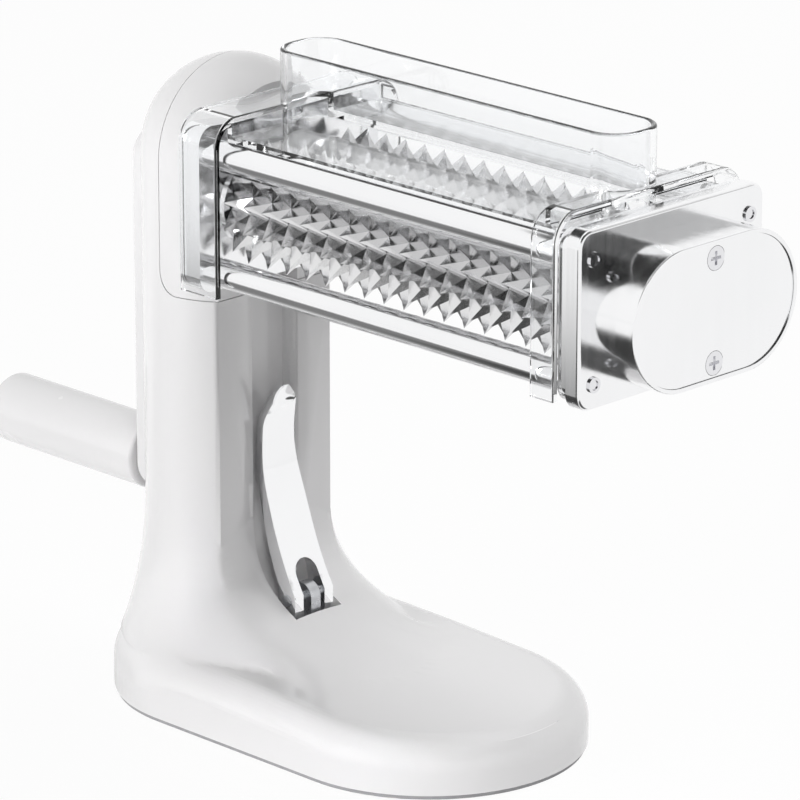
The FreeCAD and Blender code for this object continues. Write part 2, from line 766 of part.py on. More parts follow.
for s in (-1, 1):
    case_tools.append(cylinder("case_bush_hole", "bush_radius + fixed_gap", "case_end - case_floor - 0.1", 0,
                               "%d * roller_spread / 2" % s, "shaft_height"))
    for sz in (-1, 1):
        case_tools.append(cylinder("case_screw_hole", "fastener_radius + running_gap", "hub_plate_end - 1", 0,
                                   "%d * bar_y" % s, "shaft_height + %d * bar_z" % sz))
keep(cut("gear_case", fuse("case_solid", [case_plate] + case_rings), case_tools), "gear_case")

end_plate = plate("end_plate_blank", "plate_half", "plate_low", "plate_high", "plate_corner",
                  "end_plate_start", "end_plate_end", "plate_rim")
end_ledge = plate("end_ledge_blank", "ledge_half", "ledge_low", "ledge_high", "plate_corner",
                  "ledge_start", "end_plate_start")
end_rings = [cylinder("end_ring", "bush_radius + 3.5", "bush_ring_start", "ledge_start + 0.5",
                      "%d * roller_spread / 2" % s, "shaft_height") for s in (-1, 1)]
end_tools = []
for s in (-1, 1):
    end_tools.append(cylinder("end_bush_hole", "bush_radius + fixed_gap", "bush_ring_start - 1",
                              "end_plate_end + 1", "%d * roller_spread / 2" % s, "shaft_height"))
    for sz in (-1, 1):
        end_tools.append(cylinder("end_rivet_hole", "fastener_radius + running_gap", "bush_ring_start - 1",
                                  "end_plate_end + 1", "%d * bar_y" % s, "shaft_height + %d * bar_z" % sz))
keep(cut("gear_end_plate", fuse("end_plate_solid", [end_plate, end_ledge] + end_rings), end_tools),
     "gear_end_plate")

for label, start, end in (("hub_side_bushes", "case_end - case_floor", "case_end + 1.1"),
                          ("gear_side_bushes", "bush_ring_start", "end_plate_end")):
    rings = [cylinder(label + "_tube", "bush_radius", start, end, "%d * roller_spread / 2" % s,
                      "shaft_height") for s in (-1, 1)]
    bores = [cylinder(label + "_bore", "journal_radius + running_gap", "hub_plate_start", "housing_end",
                      "%d * roller_spread / 2" % s, "shaft_height") for s in (-1, 1)]
    keep(cut(label, fuse(label + "_blank", rings), bores), label)

bars = []
bar_holes = []
rivets = []
screws = []
for sy in (-1, 1):
    for sz in (-1, 1):
        y = "%d * bar_y" % sy
        z = "shaft_height + %d * bar_z" % sz
        bars.append(cylinder("bar", "bar_radius", "case_end", "ledge_start", y, z))
        bar_holes.append(cylinder("bar_hole_a", "fastener_radius + fixed_gap", "case_end - 1", "case_end + 10",
                                  y, z))
        bar_holes.append(cylinder("bar_hole_b", "fastener_radius + fixed_gap", "ledge_start - 9",
                                  "ledge_start + 1", y, z))
        rivets.append(cylinder("rivet_shank", "fastener_radius", "ledge_start - 8", "end_plate_end", y, z))
        rivets.append(cylinder("rivet_head", "fastener_radius + 0.55", "end_plate_end", "end_plate_end + 0.7",
                               y, z))
        screws.append(cylinder("screw_shank", "fastener_radius", "hub_plate_end - 2", "case_end + 9", y, z))
        screws.append(cylinder("screw_head", "fastener_radius * 2 - 0.1", "hub_plate_start + 0.2",
                               "hub_plate_end - 1", y, z))
keep(cut("tie_bars", fuse("bar_blank", bars), bar_holes), "tie_bars")
rivet_dimples = [cylinder("rivet_dimple", 1.6, "end_plate_end + 0.3", "end_plate_end + 1",
                          "%d * bar_y" % sy, "shaft_height + %d * bar_z" % sz)
                 for sy in (-1, 1) for sz in (-1, 1)]
keep(cut("tie_rivets", fuse("rivet_blank", rivets), rivet_dimples), "tie_rivets")
keep(fuse("case_screws", screws), "case_screws")

# gear housing


def stadium(half, radius, start, end):
    reach = half - radius
    core = Part.makeBox(end - start, 2 * reach, 2 * radius, V(start, -reach, shaft_z - radius))
    ends = [tube_x(radius, start, end, side * reach) for side in (-1, 1)]
    return core.fuse(ends).removeSplitter()


def gear_housing():
    half = size("housing_half")
    radius = size("housing_radius")
    wall = size("housing_wall")
    start = size("end_plate_end")
    end = size("housing_end")
    outer = stadium(half, radius, start, end)
    rim = [e for e in outer.Edges if e.BoundBox.XMin > end - 0.01]
    outer = outer.makeFillet(size("housing_rim"), rim)
    shell = outer.cut(stadium(half - wall, radius - wall, start - 1, end + 1))
    cap_back = end - size("cap_inset") - size("cap_thickness")
    posts = []
    for s in (-1, 1):
        post = tube_x(4.3, start, cap_back, 0, shaft_z + s * size("screw_spread"))
        rib = Part.makeBox(cap_back - start, 3, 3, V(start, -1.5, shaft_z + s * 20.8 - 1.5))
        posts.append(post.fuse(rib))
    shell = shell.fuse(posts)
    for s in (-1, 1):
        shell = shell.cut(tube_x(1.75, cap_back - 10, cap_back + 1, 0, shaft_z + s * size("screw_spread")))
    return shell.removeSplitter()


def gear_cap():
    wall = size("housing_wall") + 0.1
    front = size("housing_end") - size("cap_inset")
    back = front - size("cap_thickness")
    lid = stadium(size("housing_half") - wall, size("housing_radius") - wall, back, front)
    for s in (-1, 1):
        z = shaft_z + s * size("screw_spread")
        lid = lid.cut(tube_x(2.1, back - 1, front + 1, 0, z))
        lid = lid.cut(Part.makeCone(2.1, 4.1, 2.0, V(front - 2.0, 0, z), V(1, 0, 0)))
    return lid


def cap_screws():
    front = size("housing_end") - size("cap_inset")
    screws = []
    for s in (-1, 1):
        z = shaft_z + s * size("screw_spread")
        head = Part.makeCone(1.95, 3.95, 2.0, V(front - 2.0, 0, z), V(1, 0, 0))
        shank = tube_x(1.7, front - 11, front - 2.0, 0, z)
        slot_a = Part.makeBox(1.4, 4.6, 1.1, V(front - 1.3, -2.3, z - 0.55))
        slot_b = Part.makeBox(1.4, 1.1, 4.6, V(front - 1.3, -0.55, z - 2.3))
        screws.append(head.fuse(shank).cut(slot_a).cut(slot_b).removeSplitter())
    return Part.makeCompound(screws)


keep(made("gear_housing", gear_housing()), "gear_housing")
keep(made("gear_cap", gear_cap()), "gear_cap")
keep(made("cap_screws", cap_screws()), "cap_screws")

for label, y in (("drive_clip", "roller_spread / 2"), ("driven_clip", "-1 * roller_spread / 2")):
    ring = cylinder(label + "_ring", "gear_seat_radius + 2.5", "clip_start", "clip_start + 1", y, "shaft_height")
    hole = cylinder(label + "_hole", "gear_seat_radius + fixed_gap", "clip_start - 1", "clip_start + 2", y,
                    "shaft_height")
    keep(cut(label, ring, [hole]), label)

# hopper cover


def saddle(start, end):
    half = size("cover_half")
    wall = size("cover_wall")
    top = size("cover_top")
    low = size("cover_low")
    corner = size("cover_corner")

    def hood(half_width, high, radius, x0, x1, down):
        block = Part.makeBox(x1 - x0, 2 * half_width, high - down, V(x0, -half_width, down))
        rims = [e for e in block.Edges if abs(e.BoundBox.ZMin - high) < 0.01
                and abs(e.BoundBox.YLength) < 0.01]
        return block.makeFillet(radius, rims)

    outer = hood(half, top, corner, start, end, low)
    rims = [e for e in outer.Edges if e.BoundBox.XLength < 0.01 and e.BoundBox.ZMax > low + 0.01]
    outer = outer.makeFillet(size("cover_rim"), rims)
    inner = hood(half - wall, top - wall, corner - wall, start - 1, end + 1, low - 1)
    return outer.cut(inner)


def rounded_tube(x0, x1, half, radius, z0, z1):
    block = Part.makeBox(x1 - x0, 2 * half, z1 - z0, V(x0, -half, z0))
    rims = [e for e in block.Edges if e.BoundBox.ZLength > 1]
    return block.makeFillet(radius, rims)


def hopper_cover():
    """Clear hood: two arched ends on the frame, a lid between them and the feed chute through it."""
    wall = size("cover_wall")
    lid_low = size("lid_low")
    lid_half = size("lid_half")
    hub_end = size("case_end") + size("hub_saddle")
    gear_start = size("ledge_start") - size("gear_saddle")
    gear_end = size("ledge_start") - 0.1
    left = saddle(size("column_front") + 0.3, hub_end)
    right = saddle(gear_start, gear_end)
    lid = Part.makeBox(gear_end - hub_end + wall, 2 * lid_half, size("lid_thickness"),
                       V(hub_end - wall, -lid_half, lid_low))
    rise = size("cover_top") - lid_low - wall / 2
    walls = [Part.makeBox(wall, 2 * lid_half, rise, V(x, -lid_half, lid_low)) for x in (hub_end - wall, gear_start)]
    x0 = size("chute_start")
    x1 = size("chute_end")
    half = size("chute_half")
    corner = size("chute_corner")
    top = size("chute_top")
    chute = rounded_tube(x0, x1, half, corner, lid_low, top)
    room = rounded_tube(x0 + wall, x1 - wall, half - wall, corner - wall, lid_low - 1, top + 1)
    cover = lid.fuse([left, right, chute] + walls).cut(room).removeSplitter()
    mouth = [e for e in cover.Edges if e.BoundBox.ZMin > top - 0.01]
    return cover.makeFillet(size("cover_rim"), mouth)


keep(made("hopper_cover", hopper_cover()), "hopper_cover")

# suction lever and cup


LEVER_FRONT = ((5.6, 39.0), (-1.45, 53.0), (-7.6, 70.0), (-11.1, 83.0), (-11.6, 93.0), (-10.9, 98.6),
               (-9.4, 102.6), (-6.8, 110.0))
LEVER_BACK = ((-9.6, 110.5), (-12.6, 102.6), (-13.9, 98.0), (-14.4, 92.0), (-14.2, 83.0), (-11.6, 70.0),
              (-7.7, 55.0), (-2.6, 42.0))
LEVER_SIDE = ((0.0, 39.0), (-0.2, 53.0), (-0.4, 70.0), (-1.15, 83.0), (-1.65, 93.0), (-1.9, 98.6),
              (-2.9, 102.6), (-4.4, 106.6), (-6.6, 109.6))


def curve(points):
    spline = Part.BSplineCurve()
    spline.interpolate(points)
    return spline.toShape()


def solid_of(edges, push):
    return Part.Face(Part.Wire(edges)).extrude(push)


def line(first, second):
    return Part.LineSegment(first, second).toShape()


def lever_profile(y, depth):
    """Side view of the lever: its curved face in front, its flanges' edge behind."""
    foot = size("lever_foot")
    front = [V(x, y, z) for x, z in LEVER_FRONT]
    back = [V(x, y, z) for x, z in LEVER_BACK]
    toe = V(front[0].x, y, foot)
    heel = V(back[-1].x, y, foot)
    return solid_of([line(toe, front[0]), curve(front), line(front[-1], back[0]), curve(back),
                     line(back[-1], heel), line(heel, toe)], V(0, depth, 0))


def lever_outline():
    """Front view of the lever: straight sides that draw in to a rounded finger end."""
    half = size("lever_half")
    top = LEVER_FRONT[-1][1] + 0.5
    foot = size("lever_foot") - 1
    back = -30.0
    right = [V(back, half + dy, z) for dy, z in LEVER_SIDE]
    left = [V(p.x, -p.y, p.z) for p in right]
    crown = Part.Arc(right[-1], V(back, 0, top), left[-1]).toShape()
    corners = V(back, half, foot), V(back, -half, foot)
    edges = [line(corners[1], corners[0]), line(corners[0], right[0]), curve(right), crown,
             curve(list(reversed(left))), line(left[0], corners[1])]
    return solid_of(edges, V(50, 0, 0))


def lever_hollow():
    """Room between the flanges, behind the sheet."""
    sheet = size("lever_sheet")
    inner = size("lever_half") - sheet
    foot = size("lever_foot") - 1
    front = [V(x - sheet, -inner, z) for x, z in LEVER_FRONT[1:4]]
    top = front[-1]
    low = V(front[0].x, -inner, foot)
    edges = [line(low, front[0]), curve(front), line(top, V(-30, -inner, top.z)),
             line(V(-30, -inner, top.z), V(-30, -inner, foot)), line(V(-30, -inner, foot), low)]
    return solid_of(edges, V(0, 2 * inner, 0))


def lever_shape():
    """Folded lever, forked at the foot around the link, with a dished finger end."""
    pin_z = size("pin_height")
    half = size("lever_half")
    notch_half = size("notch_half")
    lever = lever_profile(-half, 2 * half).common(lever_outline())
    lever = lever.cut(lever_hollow())
    foot = size("lever_foot") - 1
    arch = pin_z + size("notch_top") - notch_half
    notch = Part.makeBox(40, 2 * notch_half, arch - foot, V(-20, -notch_half, foot))
    notch = notch.fuse(Part.makeCylinder(notch_half, 40, V(-20, 0, arch), V(1, 0, 0)))
    bore = Part.makeCylinder(size("lever_pin_radius") + size("running_gap"), 4 * half,
                             V(size("pin_x"), -2 * half, pin_z), V(0, 1, 0))
    dish = Part.makeSphere(9.0, V(-1.3, 0, 104.5))
    return lever.cut(notch).cut(bore).cut(dish).removeSplitter()


keep(made("suction_lever", lever_shape()), "suction_lever")

keep(cylinder("lever_pin", "lever_pin_radius", "-1 * lever_half - 0.3", "lever_half + 0.3", "pin_x", "pin_height",
              "y"), "lever_pin")

stem_rod = cylinder("stem_rod", "stem_radius", "cup_top", "pin_height - 4", 0, 0, "z")
stem_foot = cylinder("stem_foot", "stem_foot_radius", "cup_top", "cup_top + 2", 0, 0, "z")
link_bar = box("link_bar", "pin_x - link_reach", "pin_x + link_reach", "-1 * link_half", "link_half",
               "pin_height - 9", "pin_height")
link_head = cylinder("link_head", "link_reach", "-1 * link_half", "link_half", "pin_x", "pin_height", "y")
stem_eye = cylinder("stem_eye", "lever_pin_radius + fixed_gap", -10, 10, "pin_x", "pin_height", "y")
keep(cut("pull_stem", fuse("stem_blank", [stem_rod, stem_foot, link_bar, link_head]), [stem_eye]), "pull_stem")

keep(cylinder("cup_plate", "cup_plate_radius", "cup_height", "cup_top", 0, 0, "z"), "cup_plate")

rim_height = size("cup_height") - 3.5
cup_rim = cylinder("cup_rim", "cup_radius", 0, rim_height, 0, 0, "z")
cup_cone = doc.addObject("Part::Cone", "cup_cone")
bind(cup_cone, "Radius1", "cup_radius - 6")
bind(cup_cone, "Radius2", "cup_plate_radius + 1")
bind(cup_cone, "Height", "cup_height - %r" % rim_height)
place(cup_cone, 0, 0, rim_height)
keep(fuse("suction_cup", [cup_rim, cup_cone]), "suction_cup")

doc.recompute()

for obj in doc.Objects:
    bad = [state for state in obj.State if state in ("Invalid", "Error")]
    if bad:
        raise RuntimeError("%s is %s" % (obj.Name, bad))

os.makedirs("parts", exist_ok=True)
for obj in parts:
    shape = obj.Shape
    if shape.isNull() or not shape.isValid():
        raise RuntimeError("bad shape: " + obj.Label)
    shape.exportStep("parts/%s.step" % obj.Label)
    print("%s solids=%d volume=%.1f box=%s" % (
        obj.Label, len(shape.Solids), shape.Volume,
        [round(v, 2) for v in (shape.BoundBox.XMin, shape.BoundBox.XMax, shape.BoundBox.YMin,
                               shape.BoundBox.YMax, shape.BoundBox.ZMin, shape.BoundBox.ZMax)]))
print("parts: %d" % len(parts))
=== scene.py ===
import math

import bmesh
import bpy
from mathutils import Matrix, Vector
from mathutils.kdtree import KDTree


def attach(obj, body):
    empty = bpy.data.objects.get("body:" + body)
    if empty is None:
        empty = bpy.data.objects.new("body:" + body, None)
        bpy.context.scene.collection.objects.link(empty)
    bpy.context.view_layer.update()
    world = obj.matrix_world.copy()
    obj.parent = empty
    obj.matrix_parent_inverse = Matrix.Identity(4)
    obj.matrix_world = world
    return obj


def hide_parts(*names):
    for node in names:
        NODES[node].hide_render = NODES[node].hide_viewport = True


bl_info = {
    "name": "Crank meat tenderizer",
    "version": (1, 0, 0),
    "blender": (4, 5, 0),
    "location": "View3D > Sidebar > Tenderizer",
    "description": "Finishes and fine pieces for a hand-cranked meat tenderizer on a suction stand",
    "category": "Add Mesh",
}

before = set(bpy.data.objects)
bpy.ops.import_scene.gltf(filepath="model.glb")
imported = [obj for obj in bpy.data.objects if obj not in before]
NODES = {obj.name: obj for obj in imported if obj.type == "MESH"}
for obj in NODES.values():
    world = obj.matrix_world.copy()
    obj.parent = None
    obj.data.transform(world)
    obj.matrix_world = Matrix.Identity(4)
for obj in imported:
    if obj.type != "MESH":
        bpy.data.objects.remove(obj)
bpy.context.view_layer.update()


# settings a user would change


def colour_setting(name, description, default):
    """A colour button for the sidebar."""
    return bpy.props.FloatVectorProperty(
        name=name, description=description, subtype="COLOR", size=3, min=0.0, max=1.0, default=default)


class TenderizerFinish(bpy.types.PropertyGroup):
    """Colours of the finishes, and the polish of the chrome"""
    housing_white: colour_setting(
        "Stand white", "Colour of the moulded stand, arm and grip", (0.82, 0.815, 0.82))
    chrome_tint: colour_setting(
        "Chrome", "Reflected colour of the polished plates and bars", (0.93, 0.932, 0.94))
    roller_tint: colour_setting(
        "Roller steel", "Reflected colour of the spiked rollers", (0.78, 0.78, 0.785))
    machined_tint: colour_setting(
        "Machined steel", "Reflected colour of the shaft, pins, clips and steel gears", (0.60, 0.61, 0.63))
    screw_tint: colour_setting(
        "Screws", "Reflected colour of the bright screws and rivets", (0.82, 0.82, 0.84))
    bronze_tint: colour_setting(
        "Bronze", "Reflected colour of the shaft bushes", (0.66, 0.47, 0.26))
    clear_tint: colour_setting(
        "Clear plastic", "Tint of the hopper cover", (0.985, 0.99, 0.995))
    nylon_colour: colour_setting(
        "Nylon", "Colour of the far gears, bushes and grip washer", (0.82, 0.81, 0.76))
    knob_colour: colour_setting(
        "Knob", "Colour of the lock knob", (0.03, 0.03, 0.033))
    ring_colour: colour_setting(
        "Foot ring", "Colour of the rubber ring under the sole", (0.35, 0.35, 0.36))
    cup_colour: colour_setting(
        "Suction cup", "Colour of the suction cup", (0.03, 0.03, 0.032))
    chrome_roughness: bpy.props.FloatProperty(
        name="Chrome roughness", description="How blurred the polished metal's reflections are",
        min=0.0, max=1.0, default=0.07)


class TenderizerShape(bpy.types.PropertyGroup):
    """Sizes of the lever's round and of the stand's blend"""
    lever_round: bpy.props.FloatProperty(
        name="Lever edge round", description="Widest round along the lever's edges; short edges narrow it",
        unit="LENGTH", min=0.0, precision=5, default=0.0007)
    corner_reach: bpy.props.FloatProperty(
        name="Corner reach", description="How far the blend of the stand's hollow corner reaches",
        unit="LENGTH", min=0.001, precision=4, default=0.022)


class TenderizerView(bpy.types.PropertyGroup):
    """Where the picture is taken from"""
    azimuth: bpy.props.FloatProperty(
        name="Azimuth", description="Compass direction the picture is taken from", subtype="ANGLE",
        default=math.radians(45.1))
    elevation: bpy.props.FloatProperty(
        name="Elevation", description="Height of the camera above the horizon", subtype="ANGLE",
        default=math.radians(18.234))
    distance: bpy.props.FloatProperty(
        name="Distance", description="From the camera to the point it looks at", unit="LENGTH",
        default=1.91924)
    lens: bpy.props.FloatProperty(
        name="Lens", description="Focal length in millimetres on a 36 mm sensor", default=259.09)
    target: bpy.props.FloatVectorProperty(
        name="Target", description="The point the camera looks at", subtype="TRANSLATION", unit="LENGTH",
        size=3, default=(0.04728, 0.0, 0.11787))


# node helpers


# most of a noise lies between these two values
NOISE_LOW = 0.3
NOISE_HIGH = 0.7

# a noise drawn out along an axis has a small factor there
EVEN = (1.0, 1.0, 1.0)
ALONG_BARS = (0.05, 1.0, 1.0)
ALONG_SHAFTS = (0.1, 1.0, 1.0)
UP_PLATES = (1.0, 1.0, 0.04)


def new_material(name):
    material = bpy.data.materials.new(name)
    material.use_nodes = True
    tree = material.node_tree
    shader = tree.nodes["Principled BSDF"]
    return material, tree, shader


def put(tree, kind, **values):
    """Add a node and set its properties and sockets by name."""
    node = tree.nodes.new(kind)
    for key, value in values.items():
        if hasattr(node, key):
            setattr(node, key, value)
        else:
            node.inputs[key.replace("_", " ")].default_value = value
    return node


def join(tree, source, output, target, socket):
    tree.links.new(source.outputs[output], target.inputs[socket])


def noise(tree, scale, detail, stretch=EVEN):
    """A noise that is fixed to its object."""
    coords = put(tree, "ShaderNodeTexCoord")
    mapping = put(tree, "ShaderNodeMapping", Scale=stretch)
    texture = put(tree, "ShaderNodeTexNoise", Scale=scale, Detail=detail)
    join(tree, coords, "Object", mapping, "Vector")
    join(tree, mapping, "Vector", texture, "Vector")
    return texture


def spread(tree, source, low, high):
    """Map a noise to a range of values."""
    node = put(tree, "ShaderNodeMapRange", From_Min=NOISE_LOW, From_Max=NOISE_HIGH, To_Min=low, To_Max=high)
    join(tree, source, "Fac", node, "Value")
    return node


def relief(tree, shader, source, strength, distance):
    """Raise and lower the surface a little with a noise."""
    bump = put(tree, "ShaderNodeBump", Strength=strength, Distance=distance)
    join(tree, source, "Fac", bump, "Height")
    join(tree, bump, "Normal", shader, "Normal")


def tone(tree, shader, source, dark, light):
    """Vary the base colour with a noise between two close colours."""
    ramp = put(tree, "ShaderNodeValToRGB")
    first, last = ramp.color_ramp.elements
    first.position = NOISE_LOW
    first.color = (*dark, 1)
    last.position = NOISE_HIGH
    last.color = (*light, 1)
    join(tree, source, "Fac", ramp, "Fac")
    join(tree, ramp, "Color", shader, "Base Color")


def scaled(colour, factor):
    return tuple(min(1.0, channel * factor) for channel in colour)


def background_rays(tree):
    """One for rays that show the background: the camera's, and those that metal and glass send on."""
    path = put(tree, "ShaderNodeLightPath")
    seen = put(tree, "ShaderNodeMath", operation="MAXIMUM")
    both = put(tree, "ShaderNodeMath", operation="MAXIMUM")
    join(tree, path, "Is Camera Ray", seen, 0)
    join(tree, path, "Is Glossy Ray", seen, 1)
    join(tree, seen, "Value", both, 0)
    join(tree, path, "Is Transmission Ray", both, 1)
    return both


# finishes


# bars and plates are less finely polished than the lever, by these factors
BAR_BLUR = 1.8
PLATE_BLUR = 2.0


def moulded_white(name, colour, low, high):
    """Glossy moulded plastic: faint flow mottling, slow ripple, and polish between two roughnesses."""
    material, tree, shader = new_material(name)
    mottle = noise(tree, scale=9.0, detail=4.0)
    tone(tree, shader, mottle, scaled(colour, 0.992), scaled(colour, 1.004))
    polish = noise(tree, scale=60.0, detail=5.0)
    join(tree, spread(tree, polish, low, high), "Result", shader, "Roughness")
    ripple = noise(tree, scale=45.0, detail=1.0)
    relief(tree, shader, ripple, strength=0.012, distance=0.0004)
    shader.inputs["IOR"].default_value = 1.5
    shader.inputs["Coat Weight"].default_value = 0.35
    shader.inputs["Coat Roughness"].default_value = 0.06
    return material


def polished_metal(name, colour, roughness, grain, stretch=EVEN, bump=0.02):
    """Plated or polished metal: fine drawn grain, smears and hairline scratches."""
    material, tree, shader = new_material(name)
    shader.inputs["Metallic"].default_value = 1.0
    smear = noise(tree, scale=18.0, detail=4.0)
    tone(tree, shader, smear, scaled(colour, 0.97), colour)
    hair = noise(tree, scale=grain, detail=6.0, stretch=stretch)
    join(tree, spread(tree, hair, roughness * 0.7, roughness * 1.5), "Result", shader, "Roughness")
    relief(tree, shader, hair, strength=bump, distance=0.0001)
    return material


def clear_plastic(name, tint):
    """Clear moulded plastic with the faintest haze and wiping marks."""
    material, tree, shader = new_material(name)
    shader.inputs["Transmission Weight"].default_value = 1.0
    shader.inputs["IOR"].default_value = 1.46
    haze = noise(tree, scale=30.0, detail=5.0)
    tone(tree, shader, haze, scaled(tint, 0.99), tint)
    join(tree, spread(tree, haze, 0.0, 0.03), "Result", shader, "Roughness")
    return material


def matte_plastic(name, colour, roughness):
    """Moulded nylon, plastic or rubber with a fine even grain."""
    material, tree, shader = new_material(name)
    grain = noise(tree, scale=400.0, detail=3.0)
    tone(tree, shader, grain, scaled(colour, 0.93), scaled(colour, 1.05))
    join(tree, spread(tree, grain, roughness * 0.85, roughness * 1.15), "Result", shader, "Roughness")
    relief(tree, shader, grain, strength=0.1, distance=0.0002)
    return material


def make_finishes(look):
    """Every finish of the machine, under its own name."""
    white = look.housing_white
    chrome = look.chrome_tint
    polish = look.chrome_roughness
    recipes = {
        "stand white": (moulded_white, dict(colour=white, low=0.12, high=0.2)),
        "grip white": (moulded_white, dict(colour=white, low=0.2, high=0.28)),
        "mirror chrome": (polished_metal, dict(colour=chrome, roughness=polish, grain=240.0)),
        "bar chrome": (polished_metal, dict(
            colour=chrome, roughness=polish * BAR_BLUR, grain=300.0, stretch=ALONG_BARS)),
        "plate chrome": (polished_metal, dict(
            colour=chrome, roughness=polish * PLATE_BLUR, grain=300.0, stretch=UP_PLATES)),
        "roller steel": (polished_metal, dict(
            colour=look.roller_tint, roughness=0.13, grain=500.0, bump=0.01)),
        "machined steel": (polished_metal, dict(
            colour=look.machined_tint, roughness=0.3, grain=500.0, stretch=ALONG_SHAFTS, bump=0.1)),
        "bright screw": (polished_metal, dict(
            colour=look.screw_tint, roughness=0.14, grain=500.0, bump=0.05)),
        "bronze": (polished_metal, dict(
            colour=look.bronze_tint, roughness=0.34, grain=400.0, bump=0.1)),
        "clear plastic": (clear_plastic, dict(tint=look.clear_tint)),
        "nylon": (matte_plastic, dict(colour=look.nylon_colour, roughness=0.5)),
        "black plastic": (matte_plastic, dict(colour=look.knob_colour, roughness=0.45)),
        "grey rubber": (matte_plastic, dict(colour=look.ring_colour, roughness=0.7)),
        "cup rubber": (matte_plastic, dict(colour=look.cup_colour, roughness=0.6)),
    }
    return {name: make(name, **settings) for name, (make, settings) in recipes.items()}


FINISHES = {}

FINISHED_NODES = {
    "stand white": ("stand_body", "head_front_cap", "crank_arm"),
    "grip white": ("crank_grip",),
    "mirror chrome": ("suction_lever",),
    "bar chrome": ("tie_bars",),
    "plate chrome": ("hub_end_plate", "gear_case", "gear_end_plate", "gear_housing", "gear_cap"),
    "roller steel": ("drive_roller", "driven_roller"),
    "machined steel": ("hub_sleeve", "crank_shaft", "shaft_clip", "grip_pin", "input_pinion",
                       "roller_gear", "case_screws", "drive_clip", "driven_clip", "lever_pin",
                       "pull_stem", "cup_plate"),
    "bright screw": ("arm_screw", "tie_rivets", "cap_screws"),
    "bronze": ("rear_shaft_bush", "input_bush"),
    "clear plastic": ("hopper_cover",),
    "nylon": ("grip_washer", "drive_gear", "driven_gear", "hub_side_bushes", "gear_side_bushes"),
    "black plastic": ("lock_knob",),
    "grey rubber": ("foot_ring",),
    "cup rubber": ("suction_cup",),
}
NODE_FINISH = {node: finish for finish, nodes in FINISHED_NODES.items() for node in nodes}


# mesh helpers, in metres and radians


# points closer than WELD are one, faces that bend less than FLAT are one face, and edges that
# bend more than FOLD get a round
WELD = 2e-6
FLAT = math.radians(1.0)
FOLD = math.radians(32)
ROUND_SEGMENTS = 4

# on the stand, edges that bend more than CRISP stay where they are, and the corner that is blended
# is made of hollow edges that bend more than HOLLOW, between faces that look up
CRISP = math.radians(28)
HOLLOW = math.radians(3)
UPWARD = 0.02

# that corner lies between two heights, and behind a place along x
CORNER_LOW = 0.017
CORNER_HIGH = 0.034
CORNER_FRONT = 0.055

# the mesh below FINE_TOP is split into edges no longer than about FINE_STEP
FINE_TOP = 0.0825
FINE_STEP = 0.005
SPLIT_ROUNDS = 5
SMOOTH_ROUNDS = 40
SMOOTH_PULL = 0.5


def open_copy(node, name):
    """A new piece with a copy of a node's mesh, and that mesh open for editing."""
    mesh = NODES[node].data.copy()
    mesh.name = name
    mesh.materials.clear()
    piece = bpy.data.objects.new(name, mesh)
    bpy.context.scene.collection.objects.link(piece)
    build = bmesh.new()
    build.from_mesh(mesh)
    bmesh.ops.remove_doubles(build, verts=build.verts, dist=WELD)
    return piece, build


def close_copy(piece, build):
    """Write the edited mesh back, shaded smooth."""
    for face in build.faces:
        face.smooth = True
    build.to_mesh(piece.data)
    build.free()


def bake_modifiers(piece):
    """Turn the modifiers into plain mesh, so nothing is left to evaluate."""
    graph = bpy.context.evaluated_depsgraph_get()
    mesh = bpy.data.meshes.new_from_object(piece.evaluated_get(graph))
    old = piece.data
    piece.modifiers.clear()
    piece.data = mesh
    mesh.name = old.name
    bpy.data.meshes.remove(old)


def rounded_copy(node, name, width):
    """A copy of a pressed piece, its sharp edges broken by a round as wide as short edges allow."""
    piece, build = open_copy(node, name)
    bmesh.ops.dissolve_limit(build, angle_limit=FLAT, verts=build.verts, edges=build.edges)
    close_copy(piece, build)
    bevel = piece.modifiers.new("edge round", "BEVEL")
    bevel.width = width
    bevel.segments = ROUND_SEGMENTS
    bevel.limit_method = "ANGLE"
    bevel.angle_limit = FOLD
    bevel.harden_normals = True
    bake_modifiers(piece)
    return piece


def split_finely(build):
    """Halve the longer edges of the stand's lower part until they are short."""
    for _ in range(SPLIT_ROUNDS):
        long = [edge for edge in build.edges
                if all(vert.co.z < FINE_TOP for vert in edge.verts) and edge.calc_length() > FINE_STEP]
        if not long:
            break
        bmesh.ops.subdivide_edges(build, edges=long, cuts=1)
        bmesh.ops.triangulate(build, faces=[face for face in build.faces if len(face.verts) > 3])
    build.normal_update()


def find_corner(build):
    """Middles of the hollow corner's edges, and the vertices on crisp edges, which stay in place."""
    middles = []
    crisp = set()
    for edge in build.edges:
        bend = edge.calc_face_angle_signed() if edge.is_manifold else math.pi
        if abs(bend) > CRISP:
            crisp.update(edge.verts)
        elif bend < -HOLLOW and all(face.normal.z > UPWARD for face in edge.link_faces):
            if all(CORNER_LOW < vert.co.z < CORNER_HIGH and vert.co.x < CORNER_FRONT for vert in edge.verts):
                middles.append((edge.verts[0].co + edge.verts[1].co) / 2)
    return middles, crisp


def blend_corner(build, reach):
    """Smooth the hollow corner between the stand's flare and its sole into one sweep."""
    split_finely(build)
    middles, crisp = find_corner(build)
    tree = KDTree(len(middles))
    for number, point in enumerate(middles):
        tree.insert(point, number)
    tree.balance()
    pull = {}
    for vert in build.verts:
        beside = CORNER_LOW - reach < vert.co.z < CORNER_HIGH + reach
        if beside and vert.normal.z > UPWARD and vert not in crisp:
            distance = tree.find(vert.co)[2]
            if distance < reach:
                fade = 1 - distance / reach
                pull[vert] = fade * fade * (3 - 2 * fade) * SMOOTH_PULL
    for _ in range(SMOOTH_ROUNDS):
        moved = {}
        for vert, weight in pull.items():
            ring = [edge.other_vert(vert).co for edge in vert.link_edges]
            middle = sum(ring, Vector()) / len(ring)
            moved[vert] = vert.co.lerp(middle, weight)
        for vert, place in moved.items():
            vert.co = place


